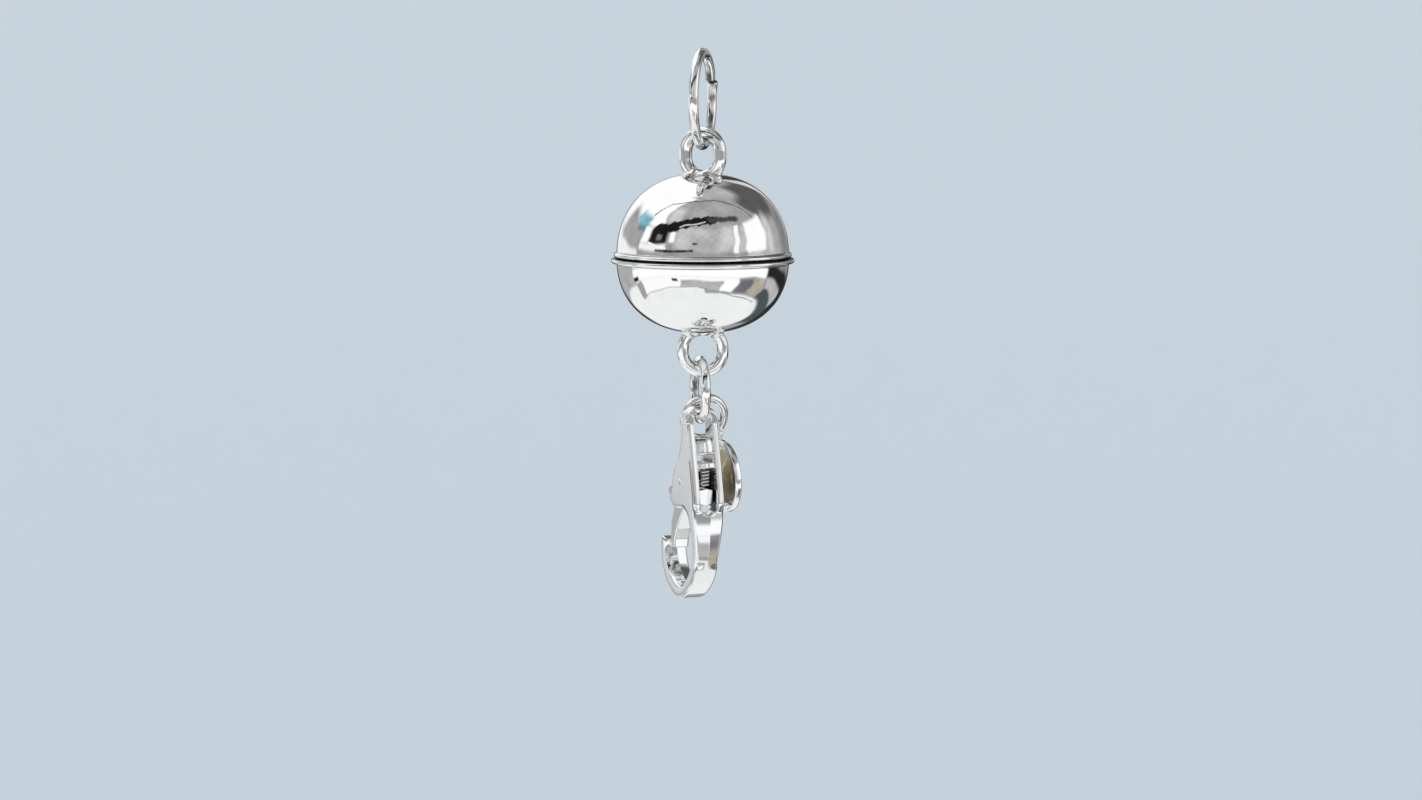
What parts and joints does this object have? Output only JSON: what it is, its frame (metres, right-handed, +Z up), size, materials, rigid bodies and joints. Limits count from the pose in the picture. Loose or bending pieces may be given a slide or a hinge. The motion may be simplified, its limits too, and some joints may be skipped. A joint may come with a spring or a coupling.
{
  "type": "magnetic clasp",
  "caption": "Hanging magnetic ball clasp: two magnet half balls with soldered loops, a jump ring above, and a link, spring claw and oval tag below.",
  "frame": {"origin": "inside top of the top jump ring, where the clasp hangs", "axes": "+Z up along the hanging clasp, -Y towards the viewer of the picture"},
  "size_m": [0.0102, 0.0102, 0.0307],
  "materials": {
    "ring_silver": "polished silver",
    "ball_silver": "mirror polished silver",
    "claw_silver": "polished edges, satin flanks",
    "lever_silver": "polished silver",
    "spring_steel": "drawn spring wire",
    "tag_silver": "polished rim, toned floor",
    "magnet": "plated magnet"
  },
  "bodies": {
    "upper": {"upper_half": "ball_silver", "upper_magnet": "magnet", "top_jump_ring": "ring_silver"},
    "lower": {"lower_half": "ball_silver", "lower_magnet": "magnet", "link_ring": "ring_silver", "claw_body": "claw_silver", "claw_rivet": "claw_silver", "claw_spring": "spring_steel", "tag_ring": "ring_silver", "tag": "tag_silver"},
    "lever": {"claw_lever": "lever_silver"}
  },
  "joints": [
    {"name": "magnet_pull", "type": "slide", "parent": "upper", "child": "lower", "axis": [0, 0, -1], "range_m": [0, 0.006], "stiffness_N_per_m": 5, "springref_m": -0.02},
    {"name": "lever_hinge", "type": "hinge", "parent": "lower", "child": "lever", "pos_m": [-0.00035, 0.00039, -0.02356], "axis": [-0.9205, -0.3907, 0], "range_deg": [0, 18], "stiffness_Nm_per_rad": 0.0002, "springref_deg": -17.19, "deforming": ["claw_spring"]}
  ]
}
